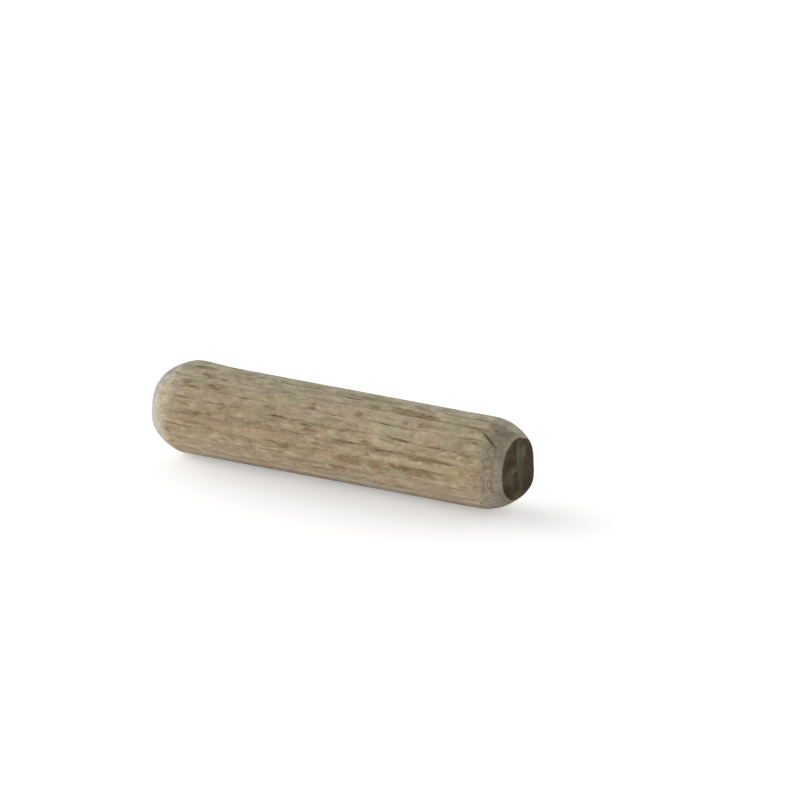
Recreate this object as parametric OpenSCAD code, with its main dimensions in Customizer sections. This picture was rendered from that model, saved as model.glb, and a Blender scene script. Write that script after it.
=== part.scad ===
// Fluted wooden dowel pin: one piece of beech, rounded at both ends, with straight flutes pressed
// round its barrel. It lies along X as it comes to rest, on one of the lands between its flutes,
// with +Z up and the origin on the bench under its middle.

/* [Pin] */
// Diameter over the lands between the flutes, which is the drill size that the pin is sold for
pin_d = 8; // [6:0.5:12]
// Length from one end face to the other
pin_l = 35; // [20:1:60]

/* [Ends] */
// Diameter of the flat end face, out to where the shoulder would meet it without its eased edge
face_d = 5.3; // [4:0.1:5.6]
// Radius of the arc that brings the barrel down to the end face
shoulder_r = 4.5; // [3:0.25:7]
// Radius of the eased edge between the shoulder and the end face
edge_r = 0.25; // [0.1:0.05:0.5]

/* [Flutes] */
// Number of flutes round the barrel
flute_count = 20; // [12:1:24]
// Depth of a flute below the lands, on its centre line
flute_depth = 0.3; // [0.2:0.02:0.5]
// Angle between the two flanks of a flute
flute_angle = 60; // [50:5:90]
// Radius at the root of a flute
root_r = 0.1; // [0.05:0.05:0.15]
// Depth of the crushed lip where each flank meets its land
lip_depth = 0.07; // [0.03:0.01:0.12]
// Angle of the crushed lip to the flute's centre plane
lip_angle = 55; // [50:5:75]

/* [Rest] */
// How far the middle of the land that the pin lies on is turned from straight down
land_turn = 2.8; // [-4:0.4:4]

/* [Hidden] */
$fn = 96;
// How far a cutter stands outside what it cuts
overcut = 1;

pin_r = pin_d / 2;
half_l = pin_l / 2;
face_r = face_d / 2;

// Centre of the shoulder arc, as [radius, distance along the pin]: the arc starts level with the lands
shoulder_c = [pin_r - shoulder_r,
              half_l - sqrt(pow(shoulder_r, 2) - pow(face_r - pin_r + shoulder_r, 2))];
// Centre of the eased edge, which touches the end face, and the shoulder arc from inside
edge_along = half_l - edge_r;
edge_c = [shoulder_c[0] + sqrt(pow(shoulder_r - edge_r, 2) - pow(edge_along - shoulder_c[1], 2)),
          edge_along];
// Where the shoulder arc runs into the eased edge
edge_join = shoulder_c + (edge_c - shoulder_c) * shoulder_r / norm(edge_c - shoulder_c);

// Half a flute's width at a height above its root, between flanks that touch the root arc
function flank_x(y) = (y - root_r) * tan(flute_angle / 2) + root_r / cos(flute_angle / 2);
// Where a flank ends and its lip begins, as [half width, height above the root]
lip_y = flute_depth - lip_depth;
lip_x = flank_x(lip_y);

// Half of the blank's section, from its middle to one end: X is the radius, Y runs along the pin
module half_section() {
    square([pin_r, shoulder_c[1]]);
    intersection() {
        translate(shoulder_c) circle(r = shoulder_r);
        square([pin_r, edge_join[1]]);
    }
    square([edge_c[0], half_l]);
    translate(edge_c) circle(r = edge_r);
}

// The pin before its flutes are pressed, standing on its middle plane
module blank() {
    rotate_extrude() {
        half_section();
        mirror([0, 1]) half_section();
    }
}

// What one flute takes from the section, with its root at the origin and its mouth towards +Y
module flute_section() {
    half_angle = flute_angle / 2;
    touch_x = root_r * cos(half_angle);
    touch_y = root_r - root_r * sin(half_angle);
    top_y = flute_depth + overcut;
    top_x = lip_x + (top_y - lip_y) * tan(lip_angle);
    translate([0, root_r]) circle(r = root_r);
    polygon([[touch_x, touch_y], [lip_x, lip_y], [top_x, top_y],
             [-top_x, top_y], [-lip_x, lip_y], [-touch_x, touch_y]]);
}

// The cutter for a flute straight underneath, running past both ends of the blank
module flute_cutter() {
    translate([0, flute_depth - pin_r, -half_l - overcut])
        mirror([0, 1])
            linear_extrude(pin_l + 2 * overcut)
                flute_section();
}

// The flutes stand evenly round the pin, the first half a pitch from the land underneath
module dowel_pin() {
    pitch = 360 / flute_count;
    color("tan")
        translate([0, 0, pin_r])
            rotate([90, 0, 90])
                difference() {
                    blank();
                    for (i = [0 : flute_count - 1])
                        rotate((i + 0.5) * pitch - land_turn)
                            flute_cutter();
                }
}

dowel_pin();
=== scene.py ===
import math

import bpy
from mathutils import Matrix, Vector


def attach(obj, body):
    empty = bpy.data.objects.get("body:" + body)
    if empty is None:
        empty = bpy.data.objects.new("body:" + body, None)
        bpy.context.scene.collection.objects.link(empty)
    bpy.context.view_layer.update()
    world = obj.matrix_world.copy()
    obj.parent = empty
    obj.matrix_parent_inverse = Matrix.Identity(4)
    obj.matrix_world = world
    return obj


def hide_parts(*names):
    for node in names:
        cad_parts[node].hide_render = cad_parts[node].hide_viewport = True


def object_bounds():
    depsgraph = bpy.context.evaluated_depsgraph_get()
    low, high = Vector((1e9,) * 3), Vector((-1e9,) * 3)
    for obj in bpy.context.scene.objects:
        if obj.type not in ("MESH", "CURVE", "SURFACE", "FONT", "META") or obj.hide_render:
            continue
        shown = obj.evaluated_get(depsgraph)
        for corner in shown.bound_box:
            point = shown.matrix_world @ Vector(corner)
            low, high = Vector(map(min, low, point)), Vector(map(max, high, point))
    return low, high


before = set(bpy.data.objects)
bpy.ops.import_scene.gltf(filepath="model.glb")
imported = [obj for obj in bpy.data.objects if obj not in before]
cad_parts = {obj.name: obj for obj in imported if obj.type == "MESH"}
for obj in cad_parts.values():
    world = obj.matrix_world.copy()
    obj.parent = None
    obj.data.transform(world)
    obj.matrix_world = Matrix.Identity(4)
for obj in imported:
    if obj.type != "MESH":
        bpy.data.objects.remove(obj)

cad_low, cad_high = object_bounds()
scene = bpy.context.scene


# Camera. A long lens looks down on the bench from the front left of the pin's own front end,
# so the pin slopes down to the right and its front end face shows as a narrow oval.
# The view is centred to the right of the pin and above it.
camera_azimuth = math.radians(30.6)
camera_elevation = math.radians(18.4)
camera_distance = 1.5
camera_lens_mm = 790
view_centre_right = 0.00494
view_centre_up = 0.00300

camera_back = Vector((math.sin(camera_azimuth) * math.cos(camera_elevation),
                      -math.cos(camera_azimuth) * math.cos(camera_elevation),
                      math.sin(camera_elevation)))
camera_right = Vector((math.cos(camera_azimuth), math.sin(camera_azimuth), 0))
camera_up = camera_back.cross(camera_right)
pin_middle = (cad_low + cad_high) / 2
view_centre = pin_middle + camera_right * view_centre_right + camera_up * view_centre_up

camera = bpy.data.objects.new("camera", bpy.data.cameras.new("camera"))
camera.data.lens = camera_lens_mm
camera.data.clip_end = 10
camera.location = view_centre + camera_back * camera_distance
camera.rotation_mode = "QUATERNION"
camera.rotation_quaternion = (-camera_back).to_track_quat("-Z", "Y")
scene.collection.objects.link(camera)
scene.camera = camera


# Dowel pin. One piece of dry, unfinished beech, cut from a rod whose flutes were pressed in
# between toothed rollers. Each end was then milled to a rounded shoulder, which the flutes run
# out into, and sawn to a small flat face of end grain.
MM = 0.001

pin_sizes = {
    # As in the CAD part, in millimetres, and the turn in degrees
    "Length": (cad_high.x - cad_low.x) / MM,
    "Diameter": (cad_high.z - cad_low.z) / MM,
    "Face diameter": 5.3,
    "Shoulder radius": 4.5,
    "Edge radius": 0.25,
    "Flute depth": 0.3,
    "Land turn": 2.8,
    # Where each flank of a flute starts and ends, from the flute's middle
    "Root half width": 0.01,
    "Flute half width": 0.24,
    # Unevenness and wear, in millimetres, and the wander in degrees
    "Land drop": 0.035,
    "Low land": 0.02,
    "Flute wander": 9.0,
    "Fibre depth": 0.05,
    "Back end swelling": 0.15,
    "Wear underneath": 0.05,
    "Ledge depth": 0.1,
    "Grain depth": 0.015,
    "Chip depth": 0.035,
    "Pore depth": 0.09,
    "Run-out rounding": 0.1,
    "Seed": 3.0,
}
flute_count = 20
columns_per_flute = 20
# How much closer together the columns of the mesh stand in a flute than on a land
crowding = 1.4
# Rows of the mesh along half the pin: on the barrel, the shoulder, the eased edge and the face
barrel_rows, shoulder_rows, edge_rows, face_rows = 64, 42, 5, 12


class Wire:
    """A value on its way through a node tree. Arithmetic on it adds Math nodes to the tree."""

    def __init__(self, socket):
        self.socket = socket
        self.tree = socket.id_data

    def math(self, operation, *others):
        node = self.tree.nodes.new("ShaderNodeMath")
        node.operation = operation
        for socket, value in zip(node.inputs, (self, *others)):
            feed(socket, value)
        return Wire(node.outputs[0])

    def __add__(self, other):
        return self.math("ADD", other)

    def __sub__(self, other):
        return self.math("SUBTRACT", other)

    def __mul__(self, other):
        return self.math("MULTIPLY", other)

    def __truediv__(self, other):
        return self.math("DIVIDE", other)

    def __neg__(self):
        return self.math("MULTIPLY", -1)

    def __rsub__(self, other):
        return -self + other

    __radd__ = __add__

    def most(self, other):
        return self.math("MAXIMUM", other)

    def ramp(self, start, end, to_start=0.0, to_end=1.0, soft=True):
        """0 before start and 1 after end, or the values that are given, with a soft or straight
        way between."""
        node = self.tree.nodes.new("ShaderNodeMapRange")
        node.interpolation_type = "SMOOTHSTEP" if soft else "LINEAR"
        for name, value in (("Value", self), ("From Min", start), ("From Max", end),
                            ("To Min", to_start), ("To Max", to_end)):
            feed(node.inputs[name], value)
        return Wire(node.outputs[0])

    def window(self, start, full, until, end):
        """0 up to start, 1 between full and until, and 0 again from end."""
        return self.ramp(start, full) * self.ramp(until, end, 1, 0)

    def curve(self, points, tallest):
        """The height at this place of a smooth curve through the points, none above the tallest."""
        node = self.tree.nodes.new("ShaderNodeFloatCurve")
        line = node.mapping.curves[0].points
        start, end = points[0][0], points[-1][0]
        for _ in points[2:]:
            line.new(0.5, 0.5)
        for knot, (place, height) in zip(line, points):
            knot.location = ((place - start) / (end - start), height / tallest)
        node.mapping.update()
        feed(node.inputs["Value"], (self - start) / (end - start))
        return Wire(node.outputs[0]) * tallest


def feed(socket, value):
    """Links a wire to a socket, or sets the socket to a plain value."""
    if isinstance(value, Wire):
        socket.id_data.links.new(value.socket, socket)
    else:
        socket.default_value = value


def point(tree, x, y, z):
    """A place, or a size on three axes."""
    node = tree.nodes.new("ShaderNodeCombineXYZ")
    for socket, value in zip(node.inputs, (x, y, z)):
        feed(socket, value)
    return Wire(node.outputs[0])


def noise(place, seed, detail=2.0, roughness=0.5):
    """Soft noise about 0.5 with features a unit apart, at a place whose axes are already scaled."""
    node = place.tree.nodes.new("ShaderNodeTexNoise")
    node.noise_dimensions = "4D"
    feed(node.inputs["Vector"], place)
    feed(node.inputs["W"], seed)
    node.inputs["Scale"].default_value = 1
    node.inputs["Detail"].default_value = detail
    node.inputs["Roughness"].default_value = roughness
    return Wire(node.outputs["Fac"])


turning = bpy.data.node_groups.new("fluted_pin", "GeometryNodeTree")
turning.interface.new_socket("Geometry", in_out="OUTPUT", socket_type="NodeSocketGeometry")
for name in pin_sizes:
    turning.interface.new_socket(name, in_out="INPUT", socket_type="NodeSocketFloat")
turning.interface.new_socket("Wood", in_out="INPUT", socket_type="NodeSocketMaterial")
asked = turning.nodes.new("NodeGroupInput")
size = {name: Wire(asked.outputs[name]) for name in pin_sizes}

# A sheet of faces, one side along the pin and the other round it, from the first flute
sheet = turning.nodes.new("GeometryNodeMeshGrid")
sheet.inputs["Size X"].default_value = 1
sheet.inputs["Size Y"].default_value = 1
sheet.inputs["Vertices X"].default_value = flute_count * columns_per_flute + 1
half_rows = barrel_rows + shoulder_rows + edge_rows + face_rows
sheet.inputs["Vertices Y"].default_value = 2 * half_rows + 1
on_sheet = turning.nodes.new("ShaderNodeSeparateXYZ")
turning.links.new(turning.nodes.new("GeometryNodeInputPosition").outputs[0], on_sheet.inputs[0])
along = Wire(on_sheet.outputs["Y"]) * 2
row = along.math("ABSOLUTE") * half_rows
front_or_back = along.math("SIGN")

# The turned profile: barrel, shoulder arc, eased edge and flat face, each over its own rows
radius = size["Diameter"] / 2
shoulder = size["Shoulder radius"]
edge = size["Edge radius"]
face_reach = shoulder + size["Face diameter"] / 2 - radius
shoulder_length = (shoulder * shoulder - face_reach * face_reach).math("SQRT")
shoulder_end = ((shoulder_length - edge) / (shoulder - edge)).math("ARCSINE")
barrel_half = size["Length"] / 2 - shoulder_length
on_barrel = row.ramp(0, barrel_rows, soft=False)
first = barrel_rows
on_shoulder = row.ramp(first, first + shoulder_rows, soft=False)
shoulder_angle = on_shoulder * shoulder_end
first = first + shoulder_rows
past_edge = row - first
edge_angle = row.ramp(first, first + edge_rows, shoulder_end, math.pi / 2, soft=False)
first = first + edge_rows
on_face = row.ramp(first, half_rows, soft=False)
distance = (barrel_half * on_barrel + shoulder * shoulder_angle.math("SINE")
            + edge * (edge_angle.math("SINE") - shoulder_end.math("SINE")))
profile = (radius - shoulder * (1 - shoulder_angle.math("COSINE"))
           - edge * (shoulder_end.math("COSINE") - edge_angle.math("COSINE")))
reach = distance * front_or_back

# How far round each point is from straight down, and from the middle of the nearest flute. The
# flutes aren't quite straight, and neighbours wander together
pitch = 360 / flute_count
flutes_round = (Wire(on_sheet.outputs["X"]) + 0.5) * flute_count
nearest_flute = flutes_round.math("ROUND")
even_share = (flutes_round - nearest_flute) * 2
share = even_share.math("SIGN") * even_share.math("ABSOLUTE").math("POWER", crowding)
straight_turn = (nearest_flute + share / 2) * pitch + pitch / 2 - size["Land turn"]
straight_facing = straight_turn * math.radians(1)
wander_length, wander_spread = 7, 2
wander_place = point(turning, reach / wander_length, straight_facing.math("SINE") * wander_spread,
                     straight_facing.math("COSINE") * wander_spread)
wander = (noise(wander_place, size["Seed"] + 5) - 0.5) * size["Flute wander"]
turn = straight_turn + wander
facing = turn * math.radians(1)
out_y = facing.math("SINE")
out_z = -facing.math("COSINE")
# The angle from the top: above 0 on the near side, and below 0 on the far side
from_top = (turn / 360).math("FRACT") * 360 - 180


def relief(along_mm, round_mm, seed, detail=2.0, roughness=0.5):
    """Noise on the barrel's surface, whose features have this length and this width."""
    place = point(turning, reach / along_mm, out_y * radius / round_mm, out_z * radius / round_mm)
    return noise(place, size["Seed"] + seed, detail, roughness)


# The flutes are pressed unevenly, and less deeply towards the back end, and closed again in
# places, but not on the far side. The lands between them droop at their sides
off_flute = share.math("ABSOLUTE") / 2 * math.radians(pitch) * radius
pressed = relief(2.6, 1.3, 0).ramp(0.38, 0.68, 0.08, 0.72) * reach.ramp(-9, 3, 0.65, 1.0)
least_on_far_side = 0.55
pressed = pressed.most(out_y.ramp(0.35, 0.85) * least_on_far_side)
flute = off_flute.ramp(size["Root half width"], size["Flute half width"], 1, 0, soft=False)
land_droop = 1 - share.math("ABSOLUTE")
low_land = relief(9, 2.5, 41).ramp(0.4, 0.6, size["Low land"], 0.0)
fibres = relief(2.6, 0.32, 11, detail=3, roughness=0.6)
fluted = (radius - size["Flute depth"] * flute * pressed
          - size["Land drop"] * land_droop * land_droop - low_land
          - fibres * size["Fibre depth"])

# The milled shoulders: chipped half way down, smoother by the end face. The front one was cut
# unevenly round the face, and has a ledge at the top where the cutter dug in. The back one is
# fuller at the top, and so is the end of the barrel beside it. Underneath, the front one is worn.
grains = relief(0.2, 0.4, 23, roughness=0.6)
front_side = reach.ramp(0, 1)
back_side = 1 - front_side
# How far the outline of each face is from its middle, at each angle from the top
front_outline = ((-180, 2.69), (-150, 2.88), (-130, 3.06), (-112, 2.82), (-94, 2.58),
                 (-72, 2.60), (-44, 2.70), (-18, 2.64), (2, 2.82), (45, 2.96),
                 (90, 2.90), (130, 2.90), (180, 2.69))
back_outline = ((-180, 2.72), (-60, 2.72), (-10, 2.75), (40, 2.75), (62, 2.70),
                (98, 2.69), (118, 2.77), (140, 2.75), (180, 2.72))
even_outline = 2.72
tallest = 4
roughed = (noise(point(turning, out_y, out_z, 0), size["Seed"] + 51) - 0.5) * 0.4
outline = (from_top.curve(front_outline, tallest) * front_side
           + (from_top.curve(back_outline, tallest) + roughed) * back_side)
uneven = (outline / even_outline - 1) * on_shoulder * on_shoulder
fuller_turn = math.radians(-19)
fuller_spread = math.radians(80)
fuller_side = out_z * math.cos(fuller_turn) - out_y * math.sin(fuller_turn)
fuller_top = fuller_side.ramp(math.cos(fuller_spread), 1) * on_shoulder.ramp(0.2, 0.5, 0.13, 0.03)
fuller = (fuller_top + on_shoulder.ramp(0.2, 0.9, 0.05, 0.02)) * back_side
swollen_turn = math.radians(-45)
swollen_spread = math.radians(50)
swollen_side = out_z * math.cos(swollen_turn) - out_y * math.sin(swollen_turn)
swollen_share = swollen_side.ramp(math.cos(swollen_spread), 1)
swollen_reach = reach.window(-16.2, -15.0, -14.6, -11.2)
barrel = fluted + swollen_share * swollen_reach * size["Back end swelling"]
worn = (-out_z).ramp(0.7, 1, 0, size["Wear underneath"]) * reach.window(13, 14.2, 15.6, 16.4)
# The foot of the ledge runs from the first of these angles from the top to the second, and from
# the first of these places along the pin to the second
ledge_foot = (31.5, 44.5, 15.21, 16.45)
ledge_reach = from_top.ramp(*ledge_foot, soft=False) + (grains - 0.5) * 0.1
ledge = (reach - ledge_reach).ramp(0, 0.12) * from_top.window(-20, 5, 44, 52)
ledge = ledge * reach.ramp(16.4, 17.2, 1, 0)
milled_profile = profile * (1 + uneven) + fuller - ledge * size["Ledge depth"] - worn
milled = (barrel - milled_profile + (grains - 0.5) * 0.04).ramp(0.02, 0.07)
chipped = distance.window(15.6, 16.1, 16.7, 17.0) * front_side
surface = (barrel.math("SMOOTH_MIN", milled_profile, size["Run-out rounding"])
           - grains * milled * (size["Grain depth"] + chipped * size["Chip depth"]))
surface = surface * (1 - on_face)

# The sawn face, with torn pores, whose end grain starts raggedly at the eased edge
pore_width = 0.45
torn_place = point(turning, reach, out_y * surface / pore_width, out_z * surface / pore_width)
torn = noise(torn_place, size["Seed"] + 31, detail=3)
sunk_face = on_face.ramp(0, 0.12) * torn.ramp(0.35, 0.7) * size["Pore depth"]
on_end = (past_edge + (torn - 0.5) * 3 + out_y.ramp(0.2, 0.7) * 2 - back_side * 3).ramp(0.5, 2.5)

# What the wood's colour needs to know of each point is kept before the sheet is bent to shape
flow = sheet.outputs["Mesh"]
for name, value in (("flute", flute * pressed), ("milled", milled), ("end", on_end)):
    store = turning.nodes.new("GeometryNodeStoreNamedAttribute")
    store.inputs["Name"].default_value = name
    turning.links.new(flow, store.inputs["Geometry"])
    feed(store.inputs["Value"], value)
    flow = store.outputs[0]
place = point(turning, reach - sunk_face * front_or_back, out_y * surface, out_z * surface + radius)
shaped = turning.nodes.new("GeometryNodeSetPosition")
turning.links.new(flow, shaped.inputs["Geometry"])
feed(shaped.inputs["Position"], place)
# The sheet's long sides meet along the first flute, and each short one in the middle of a face
weld_distance = 0.001
welded = turning.nodes.new("GeometryNodeMergeByDistance")
welded.inputs["Distance"].default_value = weld_distance
turning.links.new(shaped.outputs[0], welded.inputs["Geometry"])
scaled = turning.nodes.new("GeometryNodeTransform")
scaled.inputs["Scale"].default_value = (MM, MM, MM)
turning.links.new(welded.outputs[0], scaled.inputs["Geometry"])
smooth = turning.nodes.new("GeometryNodeSetShadeSmooth")
turning.links.new(scaled.outputs[0], smooth.inputs["Geometry"])
real = turning.nodes.new("GeometryNodeRealizeInstances")
turning.links.new(smooth.outputs[0], real.inputs["Geometry"])
finished = turning.nodes.new("GeometryNodeSetMaterial")
turning.links.new(real.outputs[0], finished.inputs["Geometry"])
turning.links.new(asked.outputs["Wood"], finished.inputs["Material"])
turning.links.new(finished.outputs[0], turning.nodes.new("NodeGroupOutput").inputs["Geometry"])

# Beech: greyish tan, with streaks along the grain, short dark rays and pale flecks
beech = bpy.data.materials.new("beech")
beech.use_nodes = True
wood = beech.node_tree
shader = wood.nodes["Principled BSDF"]


def tint(under, over, share):
    """Lays one colour over another."""
    node = wood.nodes.new("ShaderNodeMix")
    node.data_type = "RGBA"
    feed(node.inputs[0], share)
    for socket, value in ((node.inputs[6], under), (node.inputs[7], over)):
        feed(socket, value if isinstance(value, Wire) else (*value, 1))
    return Wire(node.outputs[2])


def attribute(name):
    node = wood.nodes.new("ShaderNodeAttribute")
    node.attribute_name = name
    return Wire(node.outputs["Fac"])


coordinates = wood.nodes.new("ShaderNodeTexCoord")
split = wood.nodes.new("ShaderNodeSeparateXYZ")
wood.links.new(coordinates.outputs["Object"], split.inputs[0])
x, y, z = (Wire(socket) * (1 / MM) for socket in split.outputs)
pin_radius = pin_sizes["Diameter"] / 2
up = z - pin_radius


def grain(along_mm, round_mm, seed, detail=2.0, roughness=0.5):
    """Noise in the wood, whose features have this length along the grain and this width."""
    return noise(point(wood, x / along_mm, y / round_mm, up / round_mm), seed, detail, roughness)


def dashes(along_mm, round_mm, seed, thickness):
    """Short lens-shaped marks along the grain, each with a strength of its own."""
    cells = wood.nodes.new("ShaderNodeTexVoronoi")
    feed(cells.inputs["Vector"], point(wood, x / along_mm + seed, y / round_mm, up / round_mm))
    cells.inputs["Scale"].default_value = 1
    chance = wood.nodes.new("ShaderNodeSeparateColor")
    wood.links.new(cells.outputs["Color"], chance.inputs[0])
    lens = Wire(cells.outputs["Distance"]).ramp(thickness * 0.5, thickness, 1, 0)
    return lens * Wire(chance.outputs[0])


# How far each point is round from the top: towards the front, in degrees and in millimetres, and
# to either side, in degrees
round_angle = (-y).math("ARCTAN2", up)
front_turn = round_angle * math.degrees(1)
round_mm = round_angle * pin_radius
side_turn = front_turn.math("ABSOLUTE")

streaks = grain(9, 0.6, 1.0, detail=3, roughness=0.6)
patches = grain(1.3, 0.62, 2.0, detail=3, roughness=0.6)
short = grain(1.7, 0.36, 12.0, detail=1)
clouds = grain(4, 1.8, 2.5)
tone = streaks * 0.38 + patches * 0.54 + clouds * 0.36 - 0.14
deep_tan, light_tan = (0.17, 0.125, 0.065), (0.56, 0.455, 0.305)
dark_grain, pale_grain = (0.18, 0.13, 0.075), (0.56, 0.47, 0.34)
moss, russet, ray_brown = (0.33, 0.315, 0.19), (0.40, 0.28, 0.19), (0.18, 0.115, 0.055)
colour = tint(deep_tan, light_tan, tone.ramp(0.31, 0.69, soft=False))
colour = tint(colour, dark_grain, short.ramp(0.57, 0.69) * 0.5)
colour = tint(colour, pale_grain, short.ramp(0.42, 0.3) * 0.38)
colour = tint(colour, moss, grain(3, 1.3, 4.0).ramp(0.5, 0.7) * 0.65)
colour = tint(colour, russet, grain(3, 1.2, 5.0).ramp(0.5, 0.7) * 0.65)
colour = tint(colour, ray_brown, dashes(2.4, 0.5, 0.0, 0.32) * 0.6)

# The top is greyer from dust and a painted sheen, and mottled. Down the near side the wood changes
# in bands, the lowest of them painted light; the underside is painted paler as light from below,
# with a grey strip of painted shade where it lies
dust_and_sheen, dark_mottle, pale_mottle = (0.355, 0.35, 0.275), (0.20, 0.195, 0.12), (0.56, 0.53, 0.44)
underside_painted_light, underside_painted_shade = (0.50, 0.42, 0.33), (0.19, 0.18, 0.165)
# Dust and a painted sheen make the top greyer
colour = tint(colour, dust_and_sheen, front_turn.window(-100, -40, 0, 15) * 0.4)
mottled = grain(1.5, 0.7, 14.0, detail=1)
on_top = front_turn.window(-100, -40, 18, 38)
colour = tint(colour, dark_mottle, mottled.ramp(0.52, 0.66) * on_top * 0.45)
colour = tint(colour, pale_mottle, mottled.ramp(0.49, 0.35) * on_top * 0.42)
bands = (  # the shade, the angles from the top that it comes in and goes between, its strength
    ((0.47, 0.41, 0.29), (0, 12, 45, 70), 0.3),
    ((0.34, 0.255, 0.15), (66, 84, 98, 108), 0.25),
    # This last band, low on the near side, is painted light from below
    ((0.50, 0.42, 0.31), (104, 112, 124, 134), 0.2),
)
for shade, angles, strength in bands:
    colour = tint(colour, shade, front_turn.window(*angles) * strength)
# Painted light makes the underside paler
colour = tint(colour, underside_painted_light, up.ramp(-1.6, -3.2) * 0.45)
# Painted shade: a grey strip along the bottom where the pin lies on the bench
colour = tint(colour, underside_painted_shade, up.ramp(-3.05, -3.5) * 0.36)

# The front shoulder: duller and greyer than the barrel, granular half way and smooth by the face,
# with two dark rings, painted green-grey shade at the top, painted shade low by the face, painted
# light in pale grey low down, and painted shade in a dark crease along the ledge's foot
crumb_dark, crumb_pale = (0.20, 0.167, 0.112), (0.37, 0.316, 0.238)
smooth_dark, smooth_pale = (0.25, 0.216, 0.162), (0.325, 0.28, 0.213)
shoulder_shade, ring_brown = (0.15, 0.133, 0.11), (0.19, 0.16, 0.105)
green_grey_shade, pale_grey_light, crease_shade_dark = (0.30, 0.29, 0.215), (0.40, 0.39, 0.37), (0.10, 0.078, 0.048)
granular = tint(crumb_dark, crumb_pale, grain(0.16, 0.38, 8.0).ramp(0.32, 0.68))
smooth_tone = tint(smooth_dark, smooth_pale, grain(0.5, 0.9, 9.0).ramp(0.3, 0.7))
# Painted shade darkens the smooth ring low down by the face, and a little at the top
shade_below_face = side_turn.ramp(98, 125) * x.ramp(16.9, 17.2)
smooth_tone = tint(smooth_tone, shoulder_shade, shade_below_face * 0.7)
smooth_tone = tint(smooth_tone, shoulder_shade, side_turn.ramp(82, 62) * 0.14)
shoulder_tone = tint(granular, smooth_tone, (x + (patches - 0.5) * 0.5).ramp(16.8, 16.95))
ring_way = x + (patches - 0.5) * 0.4
ring_by_face = ring_way.window(16.55, 16.67, 16.8, 16.9) * 0.65
ring_behind_it = ring_way.window(16.02, 16.1, 16.14, 16.25) * 0.3
shoulder_tone = tint(shoulder_tone, ring_brown, ring_by_face + ring_behind_it)
duller = attribute("milled") * (x + (patches - 0.5) * 0.8).ramp(15.4, 16.2) * 0.85
colour = tint(colour, shoulder_tone, duller)
# Painted shade, green grey, on the top of the shoulder
shaded_top = front_turn.window(-70, -30, 32, 46) * x.ramp(15.6, 16.4)
colour = tint(colour, green_grey_shade, shaded_top * 0.5)
# Painted light, pale grey, low down on the shoulder
lit_below = side_turn.ramp(108, 135) * x.window(14.8, 15.8, 16.8, 17.0)
colour = tint(colour, pale_grey_light, lit_below * 0.3)
# Painted shade in the crease along the ledge's foot
crease_way = x - front_turn.ramp(*ledge_foot, soft=False) + (patches - 0.5) * 0.3
crease_shade = crease_way.window(-0.24, -0.05, 0.12, 0.46) * front_turn.window(29, 33, 42, 48)
colour = tint(colour, crease_shade_dark, crease_shade * 0.88)

# The back shoulder: cream down its sides, greyer low down, dull and streaky at the top, with a
# grey rim of painted reflection round the face and a dark edge of painted shade underneath
pale_collar, cream_side, grey_side = (0.42, 0.395, 0.335), (0.42, 0.375, 0.305), (0.44, 0.42, 0.38)
dull_dark, dull_pale = (0.205, 0.20, 0.172), (0.345, 0.34, 0.315)
rim_reflection_dark, rim_reflection_pale, low_edge_shade_grey = (0.26, 0.255, 0.24), (0.38, 0.395, 0.395), (0.20, 0.195, 0.18)
back_reach = -x + (patches - 0.5) * 1.8
low_down = side_turn.ramp(32, 70)
high_up = 1 - low_down
colour = tint(colour, pale_collar, back_reach.window(13.8, 14.6, 15.0, 15.8) * high_up * 0.35)
colour = tint(colour, cream_side, back_reach.ramp(15.5, 16.7) * low_down * 0.75)
colour = tint(colour, grey_side, back_reach.ramp(15.3, 16.4) * side_turn.ramp(85, 115) * 0.6)
dull_top = tint(dull_dark, dull_pale, short.ramp(0.62, 0.38))
colour = tint(colour, dull_top, back_reach.ramp(15.2, 16.4) * high_up * 0.85)
# A grey rim of painted reflection round the back face
rim_reflection = tint(rim_reflection_dark, rim_reflection_pale, side_turn.ramp(48, 98))
rim_reflection_strength = front_turn.window(-60, 30, 130, 178) * 0.4 + 0.5
colour = tint(colour, rim_reflection, (-x).ramp(16.75, 17.3) * side_turn.ramp(32, 58) * rim_reflection_strength)
# Painted shade darkens the edge low down by the back face
low_edge_shade = (-x).window(16.2, 16.6, 17.1, 17.4) * side_turn.ramp(100, 128)
colour = tint(colour, low_edge_shade_grey, low_edge_shade * 0.35)

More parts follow.
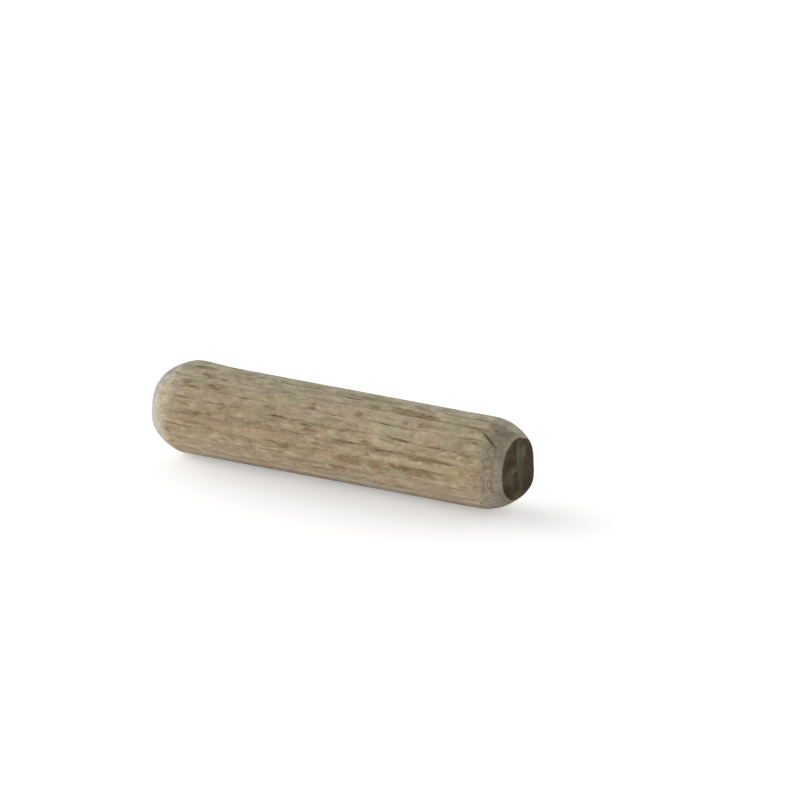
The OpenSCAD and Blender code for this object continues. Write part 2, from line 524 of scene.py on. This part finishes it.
# Marks that this pin has on its front and top: the shade, the place along the pin, the angle from
# the top towards the front, half the length, half the width, and how strong the mark is
brown, olive, rust = (0.20, 0.135, 0.065), (0.22, 0.185, 0.08), (0.26, 0.16, 0.085)
dark, fern, tan = (0.11, 0.078, 0.045), (0.17, 0.165, 0.105), (0.27, 0.20, 0.12)
pale, rose, honey = (0.50, 0.41, 0.29), (0.45, 0.355, 0.265), (0.42, 0.32, 0.18)
cream, ash, mist = (0.42, 0.39, 0.30), (0.38, 0.362, 0.275), (0.48, 0.465, 0.375)
marks = (
    (rose, -14.9, 48.5, 2.0, 0.3, 0.7),
    (moss, -13.1, 34.5, 0.42, 0.3, 0.5),
    (moss, -4.0, 24.5, 3.2, 0.9, 0.5),
    (rose, -0.8, 48.5, 0.6, 0.35, 0.7),
    (moss, 12.5, 17.5, 1.5, 0.5, 0.5),
    (honey, 13.0, 88.5, 2.3, 0.8, 0.5),
    (rose, 14.4, 55, 0.7, 0.35, 0.6),
    (rose, 15.8, 128, 0.5, 0.6, 0.4),
    (pale, 6.5, 30.5, 8.5, 0.4, 0.3),
    (pale, 11.8, 72, 2.4, 0.6, 0.35),
    (pale, 2.2, 103, 3.0, 0.8, 0.25),
    (tan, -10.0, 38, 3.4, 0.5, 0.2),
    (tan, 8.0, 60, 3.4, 0.5, 0.2),
    (tan, 9.5, 106, 2.4, 0.6, 0.18),
    (mist, 2.5, 140, 3.0, 0.6, 0.3),
    (mist, -16.9, -2, 0.5, 1.2, 0.3),
    (mist, -15.3, 62, 0.5, 0.8, 0.35),
    (mist, -15.4, 90, 0.6, 0.9, 0.3),
    (mist, -6.0, -5, 3.0, 1.0, 0.2),
    (tan, -6.0, 61, 2.8, 0.9, 0.3),
    (mist, 6.0, -8, 2.8, 1.0, 0.3),
    (mist, 6.0, 143, 2.6, 0.8, 0.35),
    (tan, 16.78, 76, 0.12, 1.0, 0.6),
    (dark, -17.3, 38, 0.1, 0.2, 0.6),
    (fern, -16.35, 20, 0.5, 0.5, 0.5),
    (cream, -15.8, 86.5, 0.3, 0.5, 0.5),
    (rust, -15.0, 122.5, 0.4, 0.15, 0.5),
    (dark, -14.9, 39.5, 0.7, 0.07, 0.4),
    (dark, -14.8, 93.5, 0.9, 0.13, 0.6),
    (brown, -14.0, 36.5, 0.45, 0.34, 0.6),
    (dark, -14.0, 37.5, 0.3, 0.14, 0.4),
    (brown, -13.7, 67, 0.55, 0.15, 0.5),
    (brown, -13.6, 58, 1.8, 0.12, 0.5),
    (brown, -13.6, 78, 0.55, 0.08, 0.6),
    (rust, -13.4, 87, 0.85, 0.22, 0.5),
    (brown, -13.3, 42, 0.8, 0.1, 0.7),
    (brown, -13.2, 3.5, 1.2, 0.15, 0.6),
    (brown, -13.2, 94.5, 1.0, 0.12, 0.5),
    (olive, -12.4, 20.5, 0.8, 0.17, 0.8),
    (brown, -12.3, 75.5, 0.42, 0.15, 0.85),
    (dark, -12.0, 124.5, 0.5, 0.07, 0.4),
    (dark, -12.0, 23.5, 0.7, 0.07, 0.5),
    (brown, -11.5, 58, 0.5, 0.1, 0.6),
    (pale, -11.2, 113.5, 0.15, 0.2, 0.7),
    (brown, -11.2, 36, 1.0, 0.3, 0.6),
    (dark, -11.2, 41, 0.9, 0.06, 0.6),
    (dark, -10.9, 23, 0.5, 0.12, 0.5),
    (pale, -10.3, 101, 0.4, 0.14, 0.9),
    (dark, -10.2, 127.5, 0.6, 0.09, 0.8),
    (dark, -9.9, 58.5, 2.2, 0.08, 0.5),
    (brown, -9.4, 75.5, 0.25, 0.2, 0.6),
    (olive, -9.1, 2, 0.35, 0.25, 0.6),
    (rust, -9.0, 94.5, 0.5, 0.3, 0.45),
    (dark, -8.7, 12, 0.5, 0.08, 0.7),
    (dark, -8.2, 109.5, 0.8, 0.06, 0.6),
    (dark, -8.1, 45.5, 0.8, 0.05, 0.7),
    (pale, -7.9, 101.5, 0.3, 0.12, 0.7),
    (olive, -5.6, 38.5, 0.35, 0.25, 0.6),
    (olive, -5.4, 51.5, 0.6, 0.26, 1.0),
    (brown, -5.0, 6, 0.35, 0.1, 0.6),
    (brown, -4.9, 66, 1.0, 0.12, 0.65),
    (dark, -4.8, 106, 1.2, 0.07, 0.6),
    (pale, -4.8, 103, 0.9, 0.07, 0.8),
    (brown, -4.7, 94, 0.7, 0.12, 0.8),
    (dark, -4.4, 60, 0.9, 0.08, 1.0),
    (dark, -3.7, 31.5, 0.5, 0.05, 0.5),
    (brown, -3.6, 96, 0.6, 0.3, 0.75),
    (dark, -2.7, 77, 1.3, 0.07, 0.6),
    (dark, -2.35, 30.5, 0.12, 0.08, 0.7),
    (brown, -1.5, 7.5, 0.7, 0.12, 0.6),
    (dark, -1.5, 65, 0.7, 0.1, 0.8),
    (rust, -1.4, 38.5, 0.35, 0.3, 0.75),
    (rust, -1.2, 70, 0.7, 0.2, 0.8),
    (brown, -0.5, 120.5, 0.9, 0.15, 0.6),
    (brown, 0.4, 120, 1.0, 0.15, 0.6),
    (dark, 1.0, 46, 1.1, 0.07, 0.6),
    (pale, 1.2, 48, 0.8, 0.08, 0.9),
    (dark, 1.3, 13.7, 1.2, 0.14, 1.0),
    (rust, 1.6, 114.5, 0.9, 0.3, 0.7),
    (dark, 2.1, 63, 0.35, 0.06, 0.7),
    (brown, 2.9, 98.5, 1.4, 0.34, 0.7),
    (brown, 3.1, 38, 0.5, 0.28, 0.6),
    (dark, 3.2, 76.5, 1.2, 0.1, 0.75),
    (rust, 3.2, 99.5, 1.1, 0.25, 0.7),
    (rust, 3.6, 102, 0.5, 0.2, 0.7),
    (brown, 3.9, 22.5, 0.95, 0.28, 0.6),
    (dark, 4.0, 123, 0.6, 0.06, 0.6),
    (dark, 4.4, 92.8, 1.9, 0.05, 0.4),
    (brown, 4.7, 86, 0.25, 0.2, 0.6),
    (pale, 5.4, 52.5, 0.35, 0.25, 0.5),
    (dark, 5.5, 44.5, 1.9, 0.06, 0.6),
    (rust, 5.5, 100.5, 0.6, 0.28, 0.75),
    (dark, 6.1, 79, 1.15, 0.1, 0.8),
    (dark, 6.2, 65, 0.6, 0.05, 0.6),
    (rust, 6.6, 60, 0.3, 0.05, 0.8),
    (dark, 6.2, 15, 1.0, 0.07, 0.5),
    (dark, 6.4, 26, 3.4, 0.07, 0.55),
    (olive, 7.3, 20.5, 1.6, 0.36, 0.9),
    (dark, 7.7, 62, 1.1, 0.08, 0.75),
    (brown, 7.7, 37, 0.3, 0.3, 0.6),
    (brown, 7.9, 96, 1.1, 0.26, 1.0),
    (rust, 8.0, 128.5, 1.0, 0.15, 0.5),
    (rust, 8.3, 45, 0.8, 0.1, 0.6),
    (pale, 9.2, 52, 0.15, 0.3, 0.7),
    (brown, 9.2, 38, 0.28, 0.35, 0.6),
    (brown, 9.3, 22.5, 1.1, 0.33, 0.75),
    (olive, 9.8, 78, 2.0, 0.15, 0.6),
    (dark, 9.9, 113, 0.1, 0.06, 0.7),
    (brown, 10.0, 99.5, 1.5, 0.5, 0.5),
    (brown, 10.8, 95, 1.7, 0.14, 0.6),
    (dark, 10.4, 113, 0.1, 0.06, 0.7),
    (brown, 11.2, 8.5, 0.9, 0.15, 0.6),
    (dark, 11.5, 63.5, 1.8, 0.08, 0.55),
    (pale, 12.1, 68.5, 0.6, 0.12, 0.5),
    (dark, 12.2, 80.3, 1.3, 0.07, 0.6),
    (rust, 13.2, 70.3, 0.45, 0.06, 0.9),
    (dark, 13.6, 111.5, 0.8, 0.06, 0.5),
    (pale, 13.8, 68.8, 0.2, 0.1, 1.0),
    (dark, 13.8, 25.5, 1.5, 0.08, 0.7),
    (dark, 14.7, 47, 0.6, 0.08, 0.8),
    (dark, 14.9, 30, 0.4, 0.08, 0.5),
    (dark, 15.0, 90, 0.15, 0.06, 0.9),
    (dark, 15.3, 129, 0.5, 0.08, 0.6),
    (brown, 15.45, 133, 0.2, 0.12, 0.6),
    (dark, 15.4, 7, 0.45, 0.09, 0.4),
    (dark, 15.7, 11, 0.5, 0.08, 0.35),
    (fern, 15.75, 20, 0.45, 0.25, 0.25),
    (brown, 15.8, 128.5, 0.2, 0.12, 0.6),
    (dark, 15.95, 20, 0.12, 0.14, 0.5),
    (brown, 16.15, 123.5, 0.2, 0.12, 0.5),
    (fern, 16.28, 10, 0.32, 0.6, 0.3),
    (dark, 16.3, 4, 0.12, 0.25, 0.4),
    (fern, 16.5, 23, 0.3, 0.4, 0.5),
    (dark, 16.6, 14, 0.14, 0.2, 0.45),
    (ash, 16.55, -8, 0.5, 1.0, 1.0),
    (fern, 16.98, 12, 0.2, 0.8, 0.6),
    (fern, 17.15, 0, 0.12, 1.2, 0.4),
)


def patch(place, middle, half_size):
    """1 in the middle of an oval patch, and 0 outside it."""
    for operation, numbers in (("SUBTRACT", middle), ("DIVIDE", half_size), ("LENGTH", None)):
        node = wood.nodes.new("ShaderNodeVectorMath")
        node.operation = operation
        wood.links.new(place.socket, node.inputs[0])
        if numbers:
            node.inputs[1].default_value = numbers
        place = Wire(node.outputs["Value" if operation == "LENGTH" else "Vector"])
    return place.ramp(1.45, 0.5)


# Long pale flecks lie under the marks. The marks have ragged edges, because their place is shaken
# by noise, and are thin in streaks
unmilled = 1 - duller
long_fleck = (0.62, 0.52, 0.38)
colour = tint(colour, long_fleck, dashes(1.0, 0.3, 13.0, 0.28) * unmilled * 0.45)
ragged = point(wood, x + (grain(0.8, 0.4, 21.0) - 0.5) * 0.9,
               round_mm + (grain(0.9, 0.4, 22.0) - 0.5) * 0.42, 0)
thin = grain(0.9, 0.14, 23.0).ramp(0.36, 0.62, 0.5, 1.3)
for shade, mark_reach, from_top_degrees, half_length, half_width, strength in marks:
    middle = (mark_reach, math.radians(from_top_degrees) * pin_radius, 0)
    mark = patch(ragged, middle, (half_length, half_width, 1))
    colour = tint(colour, shade, mark * thin * strength)

# The far side and the underside have marks of the same kinds, scattered at random between the
# shoulders
far_side = (1 - front_turn.window(-50, -28, 160, 175)) * x.window(-15.2, -13.8, 14.6, 15.6)
far_side = far_side * thin
colour = tint(colour, brown, dashes(2.4, 0.75, 41.0, 0.34) * far_side * 0.8)
colour = tint(colour, rust, dashes(2.0, 0.8, 43.0, 0.22) * far_side * 0.7)
colour = tint(colour, dark, dashes(3.4, 0.4, 47.0, 0.3) * far_side * 0.8)

# Over the marks lie dark and pale specks, short dark pores, and dirt and painted shade in the
# flutes
dark_speck, pale_speck = (0.10, 0.075, 0.04), (0.68, 0.58, 0.42)
pore_brown, dirt_and_shade_brown = (0.12, 0.085, 0.05), (0.12, 0.09, 0.055)
specks = grain(0.42, 0.3, 3.0, detail=2)
colour = tint(colour, dark_speck, specks.ramp(0.5, 0.22) * 0.22)
colour = tint(colour, pale_speck, specks.ramp(0.5, 0.78) * 0.22)
colour = tint(colour, pore_brown, dashes(1.3, 0.34, 7.0, 0.25) * unmilled * 0.45)
# Dirt and painted shade darken the flutes
flute_dirt_and_shade = attribute("flute") * grain(1.5, 0.5, 6.0).ramp(0.3, 0.6, 0.2, 1.0)
colour = tint(colour, dirt_and_shade_brown, flute_dirt_and_shade * 0.26)

# The end grain: dark, with fine pores and faint growth rings. The front face also has patches.
# Each has its shade, how far it lies from the middle towards the far side and upwards, half its
# width, half its height, and how strong it is
pores = grain(1.0, 0.22, 17.0, detail=3, roughness=0.65)
growth = (up * 4 + y * 1.5 + (grain(2.0, 1.6, 18.0) - 0.5) * 5).math("SINE")
end_dark, end_pale = (0.049, 0.036, 0.024), (0.086, 0.070, 0.046)
end_grain = tint(end_dark, end_pale, (pores + growth * 0.06).ramp(0.3, 0.7))
umber, sage, soot = (0.046, 0.033, 0.021), (0.105, 0.096, 0.062), (0.036, 0.031, 0.016)
leather, stone, plum = (0.062, 0.040, 0.023), (0.075, 0.066, 0.041), (0.041, 0.027, 0.017)
bark = (0.058, 0.044, 0.024)
face_marks = (
    (stone, 0.1, -0.4, 0.7, 1.9, 0.8),
    (leather, 1.6, -0.4, 0.95, 1.6, 0.95),
    (umber, 1.4, -1.75, 0.9, 0.6, 0.9),
    (bark, 1.1, 2.1, 0.9, 0.5, 0.9),
    (soot, 1.75, 1.1, 0.5, 0.5, 0.6),
    (sage, 0.7, 1.2, 0.45, 0.6, 0.9),
    (sage, -0.1, 1.5, 0.28, 1.0, 0.8),
    (umber, -0.7, 2.05, 0.5, 0.7, 0.95),
    (soot, -1.65, 0.9, 0.8, 0.45, 0.95),
    (soot, -0.85, 0.65, 0.45, 0.3, 0.8),
    (soot, -2.4, 0.3, 0.3, 0.6, 0.6),
    (sage, -1.05, 0.0, 0.5, 0.28, 0.9),
    (stone, -1.6, -0.65, 0.75, 0.75, 0.95),
    (umber, -0.4, -1.5, 0.6, 0.75, 0.9),
    (soot, -0.55, -0.5, 0.32, 0.3, 1.0),
    (plum, -2.1, -1.7, 0.8, 0.8, 1.0),
    (soot, -1.2, -2.3, 0.35, 0.5, 0.7),
    (stone, -0.2, -2.4, 0.7, 0.35, 0.7),
)
shaken = point(wood, y + (grain(0.6, 0.5, 31.0, detail=3) - 0.5) * 0.35,
               up + (grain(0.6, 0.5, 32.0, detail=3) - 0.5) * 0.35, 0)
front_grain = end_grain
for shade, across, above, half_across, half_above, strength in face_marks:
    mark = patch(shaken, (across, above, 0), (half_across, half_above, 1))
    front_grain = tint(front_grain, shade, mark * strength)
end_grain = tint(end_grain, front_grain, x.ramp(0, 1))
colour = tint(colour, end_grain, attribute("end"))

# Raw wood has almost no gloss
feed(shader.inputs["Base Color"], colour)
shader.inputs["Roughness"].default_value = 0.8
shader.inputs["Specular IOR Level"].default_value = 0.05

pin = bpy.data.objects.new("pin_blank", bpy.data.meshes.new("pin_blank"))
scene.collection.objects.link(pin)
turned = pin.modifiers.new("turned", "NODES")
turned.node_group = turning
for item in turning.interface.items_tree:
    if item.in_out == "INPUT" and item.name in pin_sizes:
        turned[item.identifier] = pin_sizes[item.name]
    elif item.in_out == "INPUT":
        turned[item.identifier] = beech
bpy.context.view_layer.update()
evaluated = pin.evaluated_get(bpy.context.evaluated_depsgraph_get())
pin_mesh = bpy.data.meshes.new_from_object(evaluated)
pin.modifiers.remove(turned)
pin.data = pin_mesh
pin.name = "dowel_pin_wood"
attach(pin, "root")
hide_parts("dowel_pin")


# Bench and light. A plain white bench top in a soft white tent, which is lit from low down all
# round, so that the light reaches under the pin, and most of all at the pin's back end.
floor_half = 3.0
floor_mesh = bpy.data.meshes.new("bench_top")
floor_mesh.from_pydata([(-floor_half, -floor_half, 0), (floor_half, -floor_half, 0),
                        (floor_half, floor_half, 0), (-floor_half, floor_half, 0)],
                       [], [(0, 1, 2, 3)])
floor = bpy.data.objects.new("bench_top", floor_mesh)
scene.collection.objects.link(floor)
white = bpy.data.materials.new("bench_white")
white.use_nodes = True
paint = white.node_tree.nodes["Principled BSDF"]
paint.inputs["Base Color"].default_value = (0.9, 0.9, 0.9, 1)
paint.inputs["Roughness"].default_value = 0.9


def seen_directly(tree):
    """1 for what the camera, gloss and glass see, and 0 for the light that falls on things."""
    rays = tree.nodes.new("ShaderNodeLightPath")
    camera_ray, glossy_ray, glass_ray = (Wire(rays.outputs[name]) for name in (
        "Is Camera Ray", "Is Glossy Ray", "Is Transmission Ray"))
    return camera_ray.most(glossy_ray).most(glass_ray)


# The bench glows a little to the eye, so that it shows white and keeps the pin's shadow
bench_glow = 0.32
paint.inputs["Emission Color"].default_value = (1, 1, 1, 1)
feed(paint.inputs["Emission Strength"], seen_directly(white.node_tree) * bench_glow)
floor_mesh.materials.append(white)

tent = bpy.data.worlds.new("tent")
scene.world = tent
tent.use_nodes = True
sky = tent.node_tree
way = sky.nodes.new("ShaderNodeSeparateXYZ")
sky.links.new(sky.nodes.new("ShaderNodeTexCoord").outputs["Generated"], way.inputs[0])
light_low_down, light_overhead = 2.95, 0.1
back_end_strength, back_end_narrowness = 8.5, 6
far_side_strength = 1.1
low_light = Wire(way.outputs["Z"]).ramp(0, 0.5, light_low_down, light_overhead)
back_end_light = (-Wire(way.outputs["X"])).most(0).math("POWER", back_end_narrowness)
far_side_light = Wire(way.outputs["Y"]).most(0)
tent_light = low_light + back_end_light * back_end_strength + far_side_light * far_side_strength
seen = seen_directly(sky)
feed(sky.nodes["Background"].inputs["Strength"], tent_light * (1 - seen) + seen)
sky.nodes["Background"].inputs["Color"].default_value = (1, 1, 1, 1)

scene.view_settings.view_transform = "Standard"
